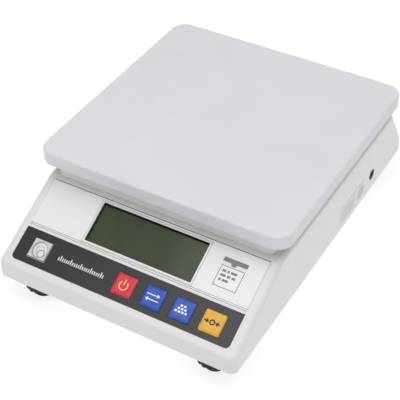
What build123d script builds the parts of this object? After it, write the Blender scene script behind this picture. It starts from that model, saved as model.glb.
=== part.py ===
from build123d import *
import os
from math import atan2, cos, radians, sin, tan

# Desktop electronic counting scale.
# Millimetres, +Z up, +Y towards the back, +X to the right of a person facing the display.
# The origin is on the table, under the centre of the whole scale.

# ---------------------------------------------------------------- driving dimensions
TOTAL_HEIGHT = 81.7            # table to the top of the weighing pan
FOOT_HEIGHT = 17.7             # table to the lower edge of the housing
HOUSING_HALF_WIDTH = 87.3      # at the lower edge
HOUSING_HALF_DEPTH = 126.35
HOUSING_CORNER = 5.2           # radius of the upright corners
HOUSING_DRAFT = 1.4            # degrees that the walls lean inward
HOUSING_EDGE = 4.0             # radius along the upper edges
CREASE_RADIUS = 12.0           # between the sloping panel and the rim
BACK_RADIUS = 5.0              # between the rim and the back slope
WALL = 2.5                     # thickness of the moulded shells
RIM_Z = 60.4                   # flat rim around the raised deck
BACK_BREAK_Z = 26.6            # height where the back wall starts to slope
BACK_RIM_Y = 105.6             # back end of the flat rim

DECK_HALF_WIDTH = 79.5         # raised deck under the pan
DECK_FRONT_Y = -64.3
DECK_BACK_Y = 101.0
DECK_Z = 68.9
DECK_CORNER = 4.0

PANEL_SLOPE = 27.17            # degrees, sloping front panel
PANEL_TOP_Y = -67.7            # upper line of the display sheet
PANEL_TOP_Z = 58.7
SHEET_HALF_WIDTH = 79.8
SHEET_BOTTOM = 34.3            # distances down the slope from the upper line
BAND_TOP = 36.3
BAND_BOTTOM = 59.6
BAND_CORNER = 3.0
SHEET_THICKNESS = 0.4
SHEET_RECESS = 0.3

WINDOW_HALF_WIDTH = 39.2       # display window
WINDOW_TOP = 3.0
WINDOW_BOTTOM = 31.0
LEDGE = 1.0                    # shell left in front of the display gasket
GASKET_THICKNESS = 0.5
GLASS_THICKNESS = 0.8          # clear window
DISPLAY_THICKNESS = 2.3        # display cell
GLASS_MARGIN = 3.5             # window and gasket beyond the opening, at the sides
GLASS_ABOVE = 1.6
GLASS_BELOW = 2.0

KEY_SIZE = 14.1
KEY_GAP = 0.3                  # play around a key cap
KEY_S = 48.5
KEY_X = {"power": 1.0, "mode": 22.1, "pieces": 42.8, "tare": 63.8}
KEY_PROUD = 1.3
KEY_FLANGE = 17.2
KEY_CORNER = 1.1
KEY_BEVEL = 0.7
KEY_BOTTOM = -3.6              # measured along the panel normal
KEY_DISH = 0.3                 # depth of the dished top
KEY_DISH_RADIUS = 60.0
PLUNGER_RADIUS = 1.6
SWITCH_HALF = 3.0
SWITCH_TOP = -4.5
BOARD_TOP = -7.5               # display board, measured along the panel normal
BOARD_THICKNESS = 1.6
BOARD_SCREW_HOLE = 1.7
STUD_NOTCH_X = (60.0, 71.0)    # corner of the display board left out over the front right foot
STUD_NOTCH_S = (51.8, 58.0)

LEVEL_X = -63.1                # spirit level
LEVEL_S = 48.4
LEVEL_SIZE = 13.4
LEVEL_TOP = 0.5
LEVEL_BOTTOM = -7.5
LEVEL_WELL = -5.5
LEVEL_WELL_RADIUS = 5.8
VIAL_RADIUS = 5.7
VIAL_TOP = 0.2

PAN_Y = 18.9                   # centre of the weighing pan
PAN_HALF_WIDTH = 90.4
PAN_HALF_DEPTH = 90.0
PAN_SKIRT = 9.8
PAN_CORNER = 11.5
PAN_EDGE = 2.0
PAN_THICKNESS = 2.5

POST_REACH = 62.0              # posts stand this far from the pan centre, both ways
POST_RADIUS = 6.0
BUMPER_RADIUS = 7.5
BUMPER_HEIGHT = 8.0
BUMPER_TOP = 2.5               # rubber over the end of a post
POST_PAD_RADIUS = 9.0          # foot of a post on its arm
SOCKET_OUTER = 10.3            # rings under the pan around the bumpers
SOCKET_INNER = 8.2
SOCKET_DEPTH = 4.5
RIB_HALF = 1.0                 # ribs under the pan
RIB_DEPTH = 3.0
RIB_END = 10.0                 # from the end of a rib to the middle of a post
ARM_WIDTH = 14.0
DECK_HOLE_RADIUS = 9.0
ARM_BOTTOM_Z = 53.0
ARM_TOP_Z = 59.0

CELL_LENGTH = 110.0            # load cell beam, along Y
CELL_WIDTH = 25.0
CELL_HEIGHT = 22.0
CELL_BOTTOM_Z = 26.2
CELL_SCREW_GAP = 18.0          # spacing of the two screws at each end
CELL_SCREW_END = 7.5           # from the outer screw to the end of the beam
FLEXURE_REACH = 11.0           # the two round ends of the flexure hole
FLEXURE_RADIUS = 8.2
FLEXURE_SLOT_HALF = 2.5
GAUGE_HALF = (5.0, 4.0)
GAUGE_THICKNESS = 0.8
CAP_SCREW_RADIUS = 2.5         # M5 cap screws
CAP_SCREW_HOLE = 2.7
CAP_HEAD_RADIUS = 4.25
CAP_HEAD_HEIGHT = 4.5
CAP_SOCKET = 4.0               # across flats

STOP_REACH = 42.0              # overload stops stand this far from the pan centre, both ways
STOP_NUT_Z = (41.5, 45.5)
STOP_RADIUS = 2.5
STOP_BOSS_RADIUS = 5.0

FOOT_X = 64.9                  # levelling feet
FOOT_Y = 109.2
FOOT_RADIUS = 12.2             # thumbwheel
FOOT_NOTCHES = 18
FOOT_PAD_RADIUS = 7.5          # rubber pad on the table
FOOT_PAD_NECK = 8.4            # its top, under the thumbwheel
FOOT_PAD_TOP = 6.7
FOOT_WHEEL_TOP = 11.7
FOOT_BOSS_BOTTOM = 15.2
FOOT_BOSS_RADIUS = 9.0
STUD_RADIUS = 3.0
STUD_TOP = 23.5
STUD_SEAT = 1.0                # how far the stud stands into the thumbwheel
WHEEL_GAP = 0.05               # between the pad and the thumbwheel
NOTCH_RADIUS = 1.3
NOTCH_OUT = 0.7                # from the rim to the middle of a notch
NUT_DEPTH = 3.0                # hexagonal nut in the boss
NUT_ACROSS = 9.9
NUT_POCKET_ACROSS = 10.0
RUNNING_CLEARANCE = 0.06

BASE_TOP = FOOT_HEIGHT + WALL
BASE_GAP = 0.2                 # base plate inside the housing wall
HOUSING_SCREWS = [(78.0, -110.0), (79.5, 10.0), (78.0, 110.0)]   # right side, mirrored to the left
SCREW_POST_RADIUS = 3.5
SCREW_RADIUS = 1.5

BAY_LEFT = -75.6               # battery bay
BAY_RIGHT = -14.3
BAY_FRONT = -12.0
BAY_BACK = 46.5
BAY_TOP = 36.8
BAY_WALL = 1.3
CELL_AA_RADIUS = 7.15
CELL_AA_LENGTH = 49.2
CELL_AA_GAP = 0.25             # between two cells
CELL_AA_LIFT = 0.6             # between the door and the cells
NUB_RADIUS = 2.6
NUB_LENGTH = 1.2
CONTACT_THICKNESS = 0.6
CONTACT_HALF = 5.0
CONTACT_ROOM = 2.4             # from the front of the bay to the cells
DOOR_THICKNESS = 2.0
DOOR_GAP = 0.3

MAIN_BOARD_X = (22.0, 74.0)
MAIN_BOARD_Y = (-14.0, 46.0)
MAIN_BOARD_Z = 25.2
STANDOFF_INSET = 4.0
STANDOFF_RADIUS = 3.0
BOARD_SCREW_RADIUS = 1.2
BOARD_PLUG_Y = (-13.2, -8.2)   # battery plug at the front edge of the main board

JACK_Y = 72.2                  # low-voltage inlet in the right wall
JACK_Z = 29.7
JACK_BORE = 3.2
JACK_PIN = 1.0
JACK_DEPTH = 15.0              # from the wall face to the back of its body

LABEL_Y = (20.5, 59.0)         # rating label on the right wall
LABEL_Z = (22.2, 35.2)

OUT = "parts"


# ---------------------------------------------------------------- helpers
def save(shape, name):
    """Write one node of the scale."""
    shape.label = name
    export_step(shape, f"{OUT}/{name}.step")


def box_between(x, y, z):
    """A box from its limits along each axis."""
    size = [high - low for low, high in (x, y, z)]
    middle = [(high + low) / 2 for low, high in (x, y, z)]
    return Pos(*middle) * Box(*size)


def rod(x, y, z_low, z_high, radius):
    """An upright cylinder."""
    return Pos(x, y, (z_low + z_high) / 2) * Cylinder(radius, z_high - z_low)


def rounded_slab(half_x, half_y, radius, z_low, z_high, centre_y=0.0, taper=0.0):
    """An upright slab with a rounded rectangular outline."""
    outline = Pos(0, centre_y, z_low) * RectangleRounded(2 * half_x, 2 * half_y, radius)
    return extrude(outline, z_high - z_low, taper=taper)


def hexagon(x, y, z_low, z_high, across_flats):
    """An upright hexagonal prism."""
    outline = Pos(x, y, z_low) * RegularPolygon(across_flats / 2, 6, major_radius=False)
    return extrude(outline, z_high - z_low)


def mirrored_pairs(points):
    """The same places on the right and on the left."""
    return [(side * x, y) for x, y in points for side in (1, -1)]


def panel_place(x, s, n=0.0):
    """A location on the sloping panel: x across, s down the slope, n out of the face."""
    slope = radians(PANEL_SLOPE)
    y = PANEL_TOP_Y - s * cos(slope) - n * sin(slope)
    z = PANEL_TOP_Z - s * sin(slope) + n * cos(slope)
    return Pos(x, y, z) * Rot(PANEL_SLOPE, 0, 0)


def panel_block(x, s, n, corner=0.0):
    """A block on the sloping panel from its limits across, down the slope and along the normal."""
    width = x[1] - x[0]
    height = s[1] - s[0]
    depth = n[1] - n[0]
    if corner > 0:
        outline = RectangleRounded(width, height, corner)
    else:
        outline = Rectangle(width, height)
    slab = extrude(outline, depth)
    return panel_place((x[0] + x[1]) / 2, (s[0] + s[1]) / 2, n[0]) * slab


def panel_rod(x, s, n_low, n_high, radius):
    """A cylinder that stands square to the sloping panel."""
    return panel_place(x, s, (n_low + n_high) / 2) * Cylinder(radius, n_high - n_low)


def cable(points, radius, bends):
    """A round cable along straight runs joined by arcs."""
    path = FilletPolyline(*points, radius=bends)
    start = Plane(origin=path @ 0, z_dir=path % 0)
    return sweep(start * Circle(radius), path=path)


# ---------------------------------------------------------------- housing
def housing_body(inset, floor_z):
    """The outer form of the housing, or its inside when inset by the wall."""
    slope = radians(PANEL_SLOPE)
    panel_drop = inset / cos(slope)
    back_slope = atan2(RIM_Z - BACK_BREAK_Z, HOUSING_HALF_DEPTH - BACK_RIM_Y)
    back_drop = inset / cos(back_slope)
    reach = HOUSING_HALF_DEPTH + 20.0
    front_z = PANEL_TOP_Z - (reach + PANEL_TOP_Y) * tan(slope) - panel_drop
    crease_y = PANEL_TOP_Y + (RIM_Z - PANEL_TOP_Z) / tan(slope)
    rim_z = RIM_Z - inset
    crease_y = crease_y - (inset - panel_drop) / tan(slope)
    back_y = BACK_RIM_Y - (back_drop - inset) / tan(back_slope)
    back_z = rim_z - (reach - back_y) * tan(back_slope)
    profile = Polyline(
        (-reach, floor_z),
        (-reach, front_z),
        (crease_y, rim_z),
        (back_y, rim_z),
        (reach, back_z),
        (reach, floor_z - 40),
        (-reach, floor_z - 40),
        (-reach, floor_z),
    )
    side = Plane(origin=(-100, 0, 0), x_dir=(0, 1, 0), z_dir=(1, 0, 0))
    prism = extrude(side * make_face(profile), 200)
    footprint = rounded_slab(
        HOUSING_HALF_WIDTH - inset,
        HOUSING_HALF_DEPTH - inset,
        HOUSING_CORNER - inset,
        FOOT_HEIGHT,
        RIM_Z + 5,
        taper=HOUSING_DRAFT,
    )
    body = footprint & prism
    return body


def rounded_housing_body(inset):
    """The housing form with its upper edges rounded."""
    body = housing_body(inset, FOOT_HEIGHT)
    upper = [e for e in body.edges() if e.center().Z > FOOT_HEIGHT + 4]
    across = [e for e in upper if abs(e.center().X) < 1 and e.length > 100 and e.center().Z > RIM_Z - inset - 1]
    across = sorted(across, key=lambda e: e.center().Y)
    body = fillet(across[0], CREASE_RADIUS)
    back_edge = [
        e
        for e in body.edges()
        if abs(e.center().X) < 1 and e.length > 100 and abs(e.center().Y - across[-1].center().Y) < 0.5
    ]
    body = fillet(back_edge, BACK_RADIUS - inset)
    top_faces = [f for f in body.faces() if f.normal_at(f.center()).Z > 0.3]
    walls = [f for f in body.faces() if abs(f.normal_at(f.center()).Z) < 0.2]
    rim_edges = []
    for edge in body.edges():
        near_top = any(e.is_same(edge) for f in top_faces for e in f.edges())
        near_wall = any(e.is_same(edge) for f in walls for e in f.edges())
        if near_top and near_wall:
            rim_edges.append(edge)
    return fillet(rim_edges, HOUSING_EDGE - inset)


def deck_body(inset):
    """The raised deck under the pan."""
    half_depth = (DECK_BACK_Y - DECK_FRONT_Y) / 2 - inset
    centre = (DECK_BACK_Y + DECK_FRONT_Y) / 2
    deck = rounded_slab(
        DECK_HALF_WIDTH - inset, half_depth, DECK_CORNER, RIM_Z - 12, DECK_Z - inset, centre
    )
    top = deck.faces().sort_by(Axis.Z)[-1]
    return fillet(top.edges(), 1.2)


def post_places():
    """Where the four support posts stand."""
    return [(sx * POST_REACH, PAN_Y + sy * POST_REACH) for sx in (-1, 1) for sy in (-1, 1)]


def upper_housing():
    """The upper shell with its deck, panel openings and screw posts."""
    outer = rounded_housing_body(0.0) + deck_body(0.0)
    inner = rounded_housing_body(WALL) + deck_body(WALL)
    mouth = rounded_slab(
        HOUSING_HALF_WIDTH - WALL,
        HOUSING_HALF_DEPTH - WALL,
        HOUSING_CORNER - WALL,
        FOOT_HEIGHT - 1,
        BASE_TOP,
    )
    shell = outer - inner - mouth
    for x, y in mirrored_pairs(HOUSING_SCREWS):
        post = rod(x, y, BASE_TOP + 0.1, RIM_Z - 1, SCREW_POST_RADIUS) & outer
        pilot = rod(x, y, BASE_TOP - 1, BASE_TOP + 14, SCREW_RADIUS)
        shell = shell + post - pilot
    shell = shell - display_cuts() - key_cuts() - level_cut()
    for x, y in post_places():
        shell = shell - rod(x, y, RIM_Z, DECK_Z + 1, DECK_HOLE_RADIUS)
    shell = shell - Pos(HOUSING_HALF_WIDTH - 4, JACK_Y, JACK_Z) * Rot(0, 90, 0) * Cylinder(4.3, 12)
    return shell


def display_cuts():
    """Recesses for the printed sheets and the stepped opening of the display."""
    sheet = panel_block(
        (-SHEET_HALF_WIDTH - 0.1, SHEET_HALF_WIDTH + 0.1), (-0.1, SHEET_BOTTOM + 0.1), (-SHEET_RECESS, 9), 1.0
    )
    band = band_form(0.1, (-SHEET_RECESS, 9))
    window = panel_block(
        (-WINDOW_HALF_WIDTH, WINDOW_HALF_WIDTH), (WINDOW_TOP, WINDOW_BOTTOM), (-8, 9), 0.5
    )
    pocket_half = WINDOW_HALF_WIDTH + 4.2
    pocket = panel_block((-pocket_half, pocket_half), (WINDOW_TOP - 1.9, WINDOW_BOTTOM + 2.4), (-8, -LEDGE))
    return [sheet, band, window, pocket]


def band_form(margin, n):
    """The dark band: square corners above, rounded corners below."""
    x = (-SHEET_HALF_WIDTH - margin, SHEET_HALF_WIDTH + margin)
    middle = (BAND_TOP + BAND_BOTTOM) / 2
    lower = panel_block(x, (BAND_TOP - margin, BAND_BOTTOM + margin), n, BAND_CORNER + margin)
    upper = panel_block(x, (BAND_TOP - margin, middle), n)
    return lower + upper


def key_cuts():
    """Square openings for the key caps."""
    half = KEY_SIZE / 2 + KEY_GAP
    ends = (KEY_S - half, KEY_S + half)
    return [panel_block((x - half, x + half), ends, (-8, 9), 0.8) for x in KEY_X.values()]


def level_cut():
    """Square opening for the spirit level."""
    half = LEVEL_SIZE / 2 + 0.1
    return panel_block((LEVEL_X - half, LEVEL_X + half), (LEVEL_S - half, LEVEL_S + half), (-8, 9))


def foot_places():
    """Corner names and places of the four feet."""
    return {
        "front_left": (-FOOT_X, -FOOT_Y),
        "front_right": (FOOT_X, -FOOT_Y),
        "rear_left": (-FOOT_X, FOOT_Y),
        "rear_right": (FOOT_X, FOOT_Y),
    }


def stop_places():
    """Where the overload stops stand."""
    reach = STOP_REACH
    return [(sx * reach, PAN_Y + sy * reach) for sx in (-1, 1) for sy in (-1, 1)]


def board_standoffs():
    """Places of the four standoffs of the main board."""
    xs = (MAIN_BOARD_X[0] + STANDOFF_INSET, MAIN_BOARD_X[1] - STANDOFF_INSET)
    ys = (MAIN_BOARD_Y[0] + STANDOFF_INSET, MAIN_BOARD_Y[1] - STANDOFF_INSET)
    return [(x, y) for x in xs for y in ys]


def cell_screw_places(end):
    """Places of the two load cell screws at the fixed end, 1, or the free end, -1."""
    first = PAN_Y + end * (CELL_LENGTH / 2 - CELL_SCREW_END)
    return [(0.0, first), (0.0, first - end * CELL_SCREW_GAP)]


def base_plate():
    """The base with foot bosses, battery bay, standoffs and stop bosses."""
    plate = rounded_slab(
        HOUSING_HALF_WIDTH - WALL - BASE_GAP,
        HOUSING_HALF_DEPTH - WALL - BASE_GAP,
        HOUSING_CORNER - WALL - BASE_GAP,
        FOOT_HEIGHT,
        BASE_TOP,
    )
    for x, y in foot_places().values():
        plate = plate + rod(x, y, FOOT_BOSS_BOTTOM, BASE_TOP, FOOT_BOSS_RADIUS)
        plate = plate - hexagon(x, y, BASE_TOP - NUT_DEPTH, BASE_TOP + 1, NUT_POCKET_ACROSS)
        plate = plate - rod(x, y, FOOT_BOSS_BOTTOM - 1, BASE_TOP + 1, STUD_RADIUS + 0.4)
    for x, y in stop_places():
        plate = plate + rod(x, y, BASE_TOP, STOP_NUT_Z[0], STOP_BOSS_RADIUS)
        plate = plate - rod(x, y, CELL_BOTTOM_Z, STOP_NUT_Z[1], STOP_RADIUS)
    for x, y in board_standoffs():
        plate = plate + rod(x, y, BASE_TOP, MAIN_BOARD_Z, STANDOFF_RADIUS)
        plate = plate - rod(x, y, BASE_TOP, MAIN_BOARD_Z + 1, BOARD_SCREW_RADIUS)
    bay = box_between((BAY_LEFT, BAY_RIGHT), (BAY_FRONT, BAY_BACK), (FOOT_HEIGHT, BAY_TOP))
    inside = box_between(
        (BAY_LEFT + BAY_WALL, BAY_RIGHT - BAY_WALL),
        (BAY_FRONT + BAY_WALL, BAY_BACK - BAY_WALL),
        (FOOT_HEIGHT - 1, BAY_TOP - BAY_WALL),
    )
    plate = plate + bay - inside
    for x, y in mirrored_pairs(HOUSING_SCREWS):
        plate = plate - rod(x, y, FOOT_HEIGHT - 1, BASE_TOP + 1, SCREW_RADIUS + 0.2)
        plate = plate - rod(x, y, FOOT_HEIGHT - 1, FOOT_HEIGHT + 1.5, 3.0)
    for x, y in cell_screw_places(1):
        plate = plate - rod(x, y, FOOT_HEIGHT - 1, BASE_TOP + 1, CAP_SCREW_HOLE)
        plate = plate - rod(x, y, FOOT_HEIGHT - 1, FOOT_HEIGHT + 1.0, CAP_HEAD_RADIUS + 0.55)
    return plate


def base_screws():
    """Six self-tapping screws that hold the base to the upper housing."""
    screws = []
    for x, y in mirrored_pairs(HOUSING_SCREWS):
        head = rod(x, y, FOOT_HEIGHT + 0.1, FOOT_HEIGHT + 1.5, 2.8)
        recess = rod(x, y, FOOT_HEIGHT, FOOT_HEIGHT + 0.8, 1.2)
        shank = rod(x, y, FOOT_HEIGHT + 1.5, BASE_TOP + 12, SCREW_RADIUS)
        screws.append(head + shank - recess)
    return Compound(children=screws)


# ---------------------------------------------------------------- front panel
def display_sheet():
    """Printed light sheet around the display window."""
    base_n = -SHEET_RECESS
    sheet = panel_block(
        (-SHEET_HALF_WIDTH, SHEET_HALF_WIDTH), (0, SHEET_BOTTOM), (base_n, base_n + SHEET_THICKNESS), 0.8
    )
    window = panel_block(
        (-WINDOW_HALF_WIDTH, WINDOW_HALF_WIDTH), (WINDOW_TOP, WINDOW_BOTTOM), (-2, 2), 0.5
    )
    return sheet - window


def key_sheet():
    """Dark printed band around the keys and the level."""
    band = band_form(0.0, (-SHEET_RECESS, SHEET_THICKNESS - SHEET_RECESS))
    return band - key_cuts() - level_cut()


def display_gasket():
    """Black foam frame between the shell and the display."""
    outer = panel_block(
        (-WINDOW_HALF_WIDTH - GLASS_MARGIN, WINDOW_HALF_WIDTH + GLASS_MARGIN),
        (WINDOW_TOP - GLASS_ABOVE, WINDOW_BOTTOM + GLASS_BELOW),
        (-LEDGE - GASKET_THICKNESS, -LEDGE),
    )
    inner = panel_block(
        (-WINDOW_HALF_WIDTH + 0.3, WINDOW_HALF_WIDTH - 0.3),
        (WINDOW_TOP + 1.0, WINDOW_BOTTOM - 0.2),
        (-LEDGE - 1, 0),
    )
    return outer - inner


def display_window():
    """Clear window behind the gasket."""
    front = -LEDGE - GASKET_THICKNESS
    return panel_block(
        (-WINDOW_HALF_WIDTH - GLASS_MARGIN, WINDOW_HALF_WIDTH + GLASS_MARGIN),
        (WINDOW_TOP - GLASS_ABOVE, WINDOW_BOTTOM + GLASS_BELOW),
        (front - GLASS_THICKNESS, front),
    )


def lcd_glass():
    """Liquid crystal display cell."""
    front = -LEDGE - GASKET_THICKNESS - GLASS_THICKNESS
    return panel_block(
        (-WINDOW_HALF_WIDTH - 3.0, WINDOW_HALF_WIDTH + 3.0),
        (WINDOW_TOP - 1.2, WINDOW_BOTTOM + 1.6),
        (front - DISPLAY_THICKNESS, front),
    )


def lcd_connectors():
    """Two elastomer strips between the display cell and its board."""
    low = BOARD_TOP
    high = -LEDGE - GASKET_THICKNESS - GLASS_THICKNESS - DISPLAY_THICKNESS
    strips = []
    for s in (WINDOW_TOP + 0.5, WINDOW_BOTTOM - 0.5):
        strips.append(panel_block((-35, 35), (s - 1.2, s + 1.2), (low, high)))
    return Compound(children=strips)


def display_board():
    """Circuit board behind the panel, carrying the display and the key switches."""
    board = panel_block((-51.0, 70.5), (0.5, 57.5), (BOARD_TOP - BOARD_THICKNESS, BOARD_TOP), 1.5)
    for x, s in display_board_screw_places():
        board = board - panel_rod(x, s, BOARD_TOP - 3, BOARD_TOP + 1, BOARD_SCREW_HOLE)
    return board - panel_block(STUD_NOTCH_X, STUD_NOTCH_S, (BOARD_TOP - 3, BOARD_TOP + 1))


def display_board_screw_places():
    """Places of the four screws of the display board, on the panel."""
    return [(-47.5, 3.5), (56.0, 3.5), (-47.5, 54.0), (12.0, 37.2)]


def panel_bosses():
    """Bosses under the panel that the display board is screwed to."""
    bosses = []
    for x, s in display_board_screw_places():
        boss = panel_rod(x, s, BOARD_TOP, -WALL + 0.2, 2.6)
        bosses.append(boss - panel_rod(x, s, BOARD_TOP - 1, -WALL - 0.4, BOARD_SCREW_RADIUS))
    return bosses


def display_board_screws():
    """Four small screws that hold the display board."""
    screws = []
    bottom = BOARD_TOP - BOARD_THICKNESS
    for x, s in display_board_screw_places():
        head = panel_rod(x, s, bottom - 1.4, bottom, 2.4)
        shank = panel_rod(x, s, bottom, -WALL - 0.6, BOARD_SCREW_RADIUS)
        screws.append(head + shank)
    return Compound(children=screws)


def switch_plunger(x):
    """Round plunger of one key switch."""
    return panel_rod(x, KEY_S, BOARD_TOP + 1.4, KEY_BOTTOM, PLUNGER_RADIUS)


def key_switches():
    """Bodies of the four key switches."""
    switches = []
    for x in KEY_X.values():
        sides = (x - SWITCH_HALF, x + SWITCH_HALF)
        ends = (KEY_S - SWITCH_HALF, KEY_S + SWITCH_HALF)
        body = panel_block(sides, ends, (BOARD_TOP, SWITCH_TOP), 0.4)
        bore = panel_rod(x, KEY_S, BOARD_TOP + 0.6, 0, PLUNGER_RADIUS + RUNNING_CLEARANCE)
        switches.append(body - bore)
    return Compound(children=switches)


def key_cap(x):
    """Square key cap with a bevelled, slightly dished top and a flange under the shell."""
    half = KEY_SIZE / 2
    body = panel_block((x - half, x + half), (KEY_S - half, KEY_S + half), (KEY_BOTTOM, KEY_PROUD), KEY_CORNER)
    top = body.faces().sort_by_distance(panel_place(x, KEY_S, KEY_PROUD).position)[0]
    body = chamfer(top.edges(), KEY_BEVEL)
    wide = KEY_FLANGE / 2
    flange = panel_block((x - wide, x + wide), (KEY_S - wide, KEY_S + wide), (KEY_BOTTOM, -WALL - KEY_GAP))
    dish = panel_place(x, KEY_S, KEY_PROUD + KEY_DISH_RADIUS - KEY_DISH) * Sphere(KEY_DISH_RADIUS)
    return body + flange - dish


def level_body():
    """Square cup of the spirit level."""
    half = LEVEL_SIZE / 2
    sides = (LEVEL_X - half, LEVEL_X + half)
    ends = (LEVEL_S - half, LEVEL_S + half)
    body = panel_block(sides, ends, (LEVEL_BOTTOM, LEVEL_TOP), 0.4)
    well = panel_rod(LEVEL_X, LEVEL_S, LEVEL_WELL, LEVEL_TOP + 0.5, LEVEL_WELL_RADIUS)
    return body - well


def level_vial():
    """Round clear vial with a shallow domed top."""
    vial = panel_rod(LEVEL_X, LEVEL_S, LEVEL_WELL, VIAL_TOP, VIAL_RADIUS)
    top = vial.edges().sort_by_distance(panel_place(LEVEL_X, LEVEL_S, VIAL_TOP).position)[0]
    return fillet(top, 0.6)


def level_clip():
    """Square retaining clip that holds the level from behind the panel."""
    half = LEVEL_SIZE / 2
    clip = panel_block(
        (LEVEL_X - half - 2.5, LEVEL_X + half + 2.5),
        (LEVEL_S - half - 2.5, LEVEL_S + half + 2.5),
        (-WALL - 1.4, -WALL - 0.1),
    )
    hole = panel_block((LEVEL_X - half, LEVEL_X + half), (LEVEL_S - half, LEVEL_S + half), (-9, 2))
    return clip - hole


# ---------------------------------------------------------------- weighing mechanism
def load_cell():
    """Aluminium beam with a dumbbell-shaped flexure hole and four tapped screw holes."""
    beam = box_between(
        (-CELL_WIDTH / 2, CELL_WIDTH / 2),
        (PAN_Y - CELL_LENGTH / 2, PAN_Y + CELL_LENGTH / 2),
        (CELL_BOTTOM_Z, CELL_BOTTOM_Z + CELL_HEIGHT),
    )
    beam = chamfer(beam.edges().filter_by(Axis.Z), 1.0)
    middle_z = CELL_BOTTOM_Z + CELL_HEIGHT / 2
    across = Rot(0, 90, 0) * Cylinder(FLEXURE_RADIUS, CELL_WIDTH + 2)
    for reach in (-FLEXURE_REACH, FLEXURE_REACH):
        beam = beam - Pos(0, PAN_Y + reach, middle_z) * across
    slot = box_between(
        (-CELL_WIDTH, CELL_WIDTH),
        (PAN_Y - FLEXURE_REACH, PAN_Y + FLEXURE_REACH),
        (middle_z - FLEXURE_SLOT_HALF, middle_z + FLEXURE_SLOT_HALF),
    )
    beam = beam - slot
    for x, y in cell_screw_places(1):
        beam = beam - rod(x, y, CELL_BOTTOM_Z - 1, CELL_BOTTOM_Z + 12, CAP_SCREW_RADIUS)
    for x, y in cell_screw_places(-1):
        beam = beam - rod(x, y, CELL_BOTTOM_Z + 10, CELL_BOTTOM_Z + CELL_HEIGHT + 1, CAP_SCREW_HOLE)
    return beam


def strain_gauges():
    """Four foil strain gauges under a film of sealant, above and below the flexures."""
    gauges = []
    top = CELL_BOTTOM_Z + CELL_HEIGHT
    across = (-GAUGE_HALF[0], GAUGE_HALF[0])
    for y in (PAN_Y - FLEXURE_REACH, PAN_Y + FLEXURE_REACH):
        along = (y - GAUGE_HALF[1], y + GAUGE_HALF[1])
        gauges.append(box_between(across, along, (top, top + GAUGE_THICKNESS)))
        gauges.append(box_between(across, along, (CELL_BOTTOM_Z - GAUGE_THICKNESS, CELL_BOTTOM_Z)))
    return Compound(children=gauges)


def load_cell_block():
    """Spacer block between the base and the fixed end of the load cell."""
    end = PAN_Y + CELL_LENGTH / 2
    block = box_between((-13, 13), (end - 32, end), (BASE_TOP, CELL_BOTTOM_Z))
    for x, y in cell_screw_places(1):
        block = block - rod(x, y, BASE_TOP - 1, CELL_BOTTOM_Z + 1, CAP_SCREW_HOLE)
    return block


def load_cell_base_screws():
    """Two cap screws up through the base into the fixed end."""
    screws = []
    for x, y in cell_screw_places(1):
        head = rod(x, y, FOOT_HEIGHT + 1.0 - CAP_HEAD_HEIGHT, FOOT_HEIGHT + 1.0, CAP_HEAD_RADIUS)
        socket = hexagon(x, y, FOOT_HEIGHT - CAP_HEAD_HEIGHT, FOOT_HEIGHT - 1.0, CAP_SOCKET)
        shank = rod(x, y, FOOT_HEIGHT + 1.0, CELL_BOTTOM_Z + 10, CAP_SCREW_RADIUS)
        screws.append(head + shank - socket)
    return Compound(children=screws)


def support_frame():
    """Cast cross with four posts, bolted to the free end of the load cell."""
    reach = POST_REACH * 2 ** 0.5
    arms = []
    for angle in (45, -45):
        arm = Box(2 * reach, ARM_WIDTH, ARM_TOP_Z - ARM_BOTTOM_Z)
        arms.append(Pos(0, PAN_Y, (ARM_BOTTOM_Z + ARM_TOP_Z) / 2) * Rot(0, 0, angle) * arm)
    frame = arms[0] + arms[1]
    free_end = PAN_Y - CELL_LENGTH / 2
    cell_top = CELL_BOTTOM_Z + CELL_HEIGHT
    frame = frame + box_between((-13, 13), (free_end, PAN_Y), (ARM_BOTTOM_Z, ARM_TOP_Z))
    frame = frame + box_between((-12.5, 12.5), (free_end, free_end + 31), (cell_top, ARM_BOTTOM_Z))
    for x, y in post_places():
        frame = frame + rod(x, y, ARM_BOTTOM_Z, ARM_TOP_Z, POST_PAD_RADIUS)
        frame = frame + rod(x, y, ARM_TOP_Z, TOTAL_HEIGHT - PAN_THICKNESS - BUMPER_TOP, POST_RADIUS)
    for x, y in cell_screw_places(-1):
        frame = frame - rod(x, y, cell_top - 1, ARM_TOP_Z + 1, CAP_SCREW_HOLE)
        frame = frame - rod(x, y, ARM_TOP_Z - 4, ARM_TOP_Z + 1, CAP_HEAD_RADIUS + 0.35)
    return frame


def frame_screws():
    """Two cap screws down through the support frame into the free end."""
    screws = []
    for x, y in cell_screw_places(-1):
        head = rod(x, y, ARM_TOP_Z - 4, ARM_TOP_Z - 4 + CAP_HEAD_HEIGHT, CAP_HEAD_RADIUS)
        socket = hexagon(x, y, ARM_TOP_Z - 2, ARM_TOP_Z + 1, CAP_SOCKET)
        shank = rod(x, y, CELL_BOTTOM_Z + 12, ARM_TOP_Z - 4, CAP_SCREW_RADIUS)
        screws.append(head + shank - socket)
    return Compound(children=screws)


def pan_bumpers():
    """Rubber caps on the four posts."""
    caps = []
    top = TOTAL_HEIGHT - PAN_THICKNESS
    for x, y in post_places():
        cap = rod(x, y, top - BUMPER_HEIGHT, top, BUMPER_RADIUS)
        upper = cap.edges().group_by(Axis.Z)[-1]
        cap = fillet(upper, 0.8)
        caps.append(cap - rod(x, y, top - BUMPER_HEIGHT - 1, top - BUMPER_TOP, POST_RADIUS))
    return Compound(children=caps)


def overload_stops():
    """Four adjusting screws with lock nuts under the arms of the support frame."""
    stops = []
    for x, y in stop_places():
        shank = rod(x, y, CELL_BOTTOM_Z, ARM_BOTTOM_Z - 0.9, STOP_RADIUS)
        nut = hexagon(x, y, *STOP_NUT_Z, 8.0)
        stops.append(shank + nut)
    return Compound(children=stops)


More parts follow.
